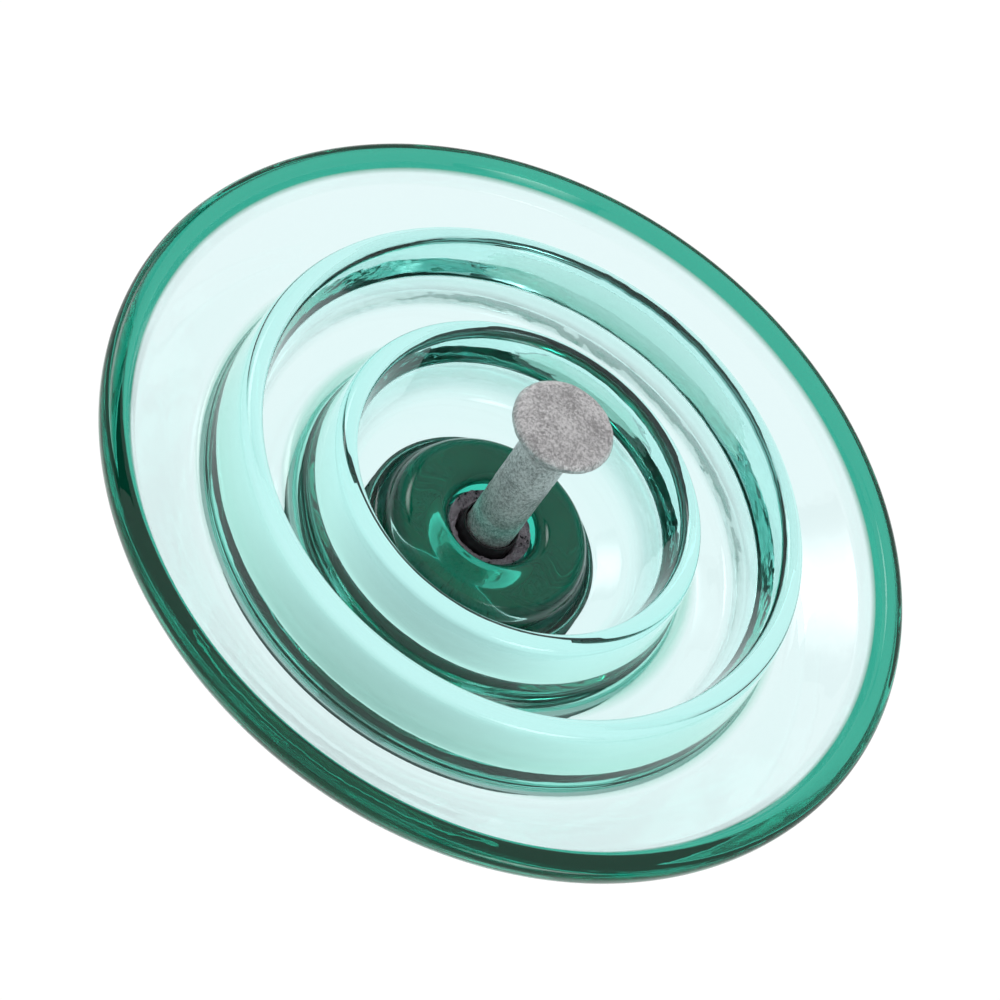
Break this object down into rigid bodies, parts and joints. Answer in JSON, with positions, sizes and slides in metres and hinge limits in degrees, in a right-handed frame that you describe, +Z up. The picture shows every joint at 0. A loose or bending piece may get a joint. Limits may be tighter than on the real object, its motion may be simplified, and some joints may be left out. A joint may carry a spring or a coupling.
{
  "type": "glass disc insulator",
  "caption": "Cap-and-pin suspension insulator: ribbed green glass disc cemented between a galvanised iron cap with a ball socket and a steel pin with a ball end.",
  "frame": {"origin": "the suspension point: on the disc's axis, at the level in the cap's socket where the ball of the unit above bears", "axes": "+Z up along the disc's axis, from the pin's ball to the cap; +X towards the open side of the socket, -X towards the locking pin's eye"},
  "size_m": [0.255, 0.255, 0.167],
  "materials": {
    "glass": "clear toughened glass with a green cast, dark emerald where it is thick",
    "galvanised_cap": "hot-dip galvanised malleable iron, dull grey",
    "galvanised_pin": "hot-dip galvanised forged steel, mottled grey",
    "cement": "rough aluminous cement",
    "mouth_cement": "rough aluminous cement, purple-grey",
    "bitumen": "black bitumen coat",
    "cork": "pressed cork",
    "stainless": "drawn stainless wire"
  },
  "bodies": {
    "insulator": {"glass_shell": "glass", "cap": "galvanised_cap", "pin": "galvanised_pin", "cap_cement": "cement", "pin_cement": "mouth_cement", "cap_coating": "bitumen", "pin_coating": "bitumen", "head_cushion": "cork", "pin_cushion": "cork"},
    "lock": {"locking_pin": "stainless"}
  },
  "joints": [
    {"name": "lock_slide", "type": "slide", "parent": "insulator", "child": "lock", "axis": [-1, 0, 0], "range_m": [0, 0.021]}
  ]
}
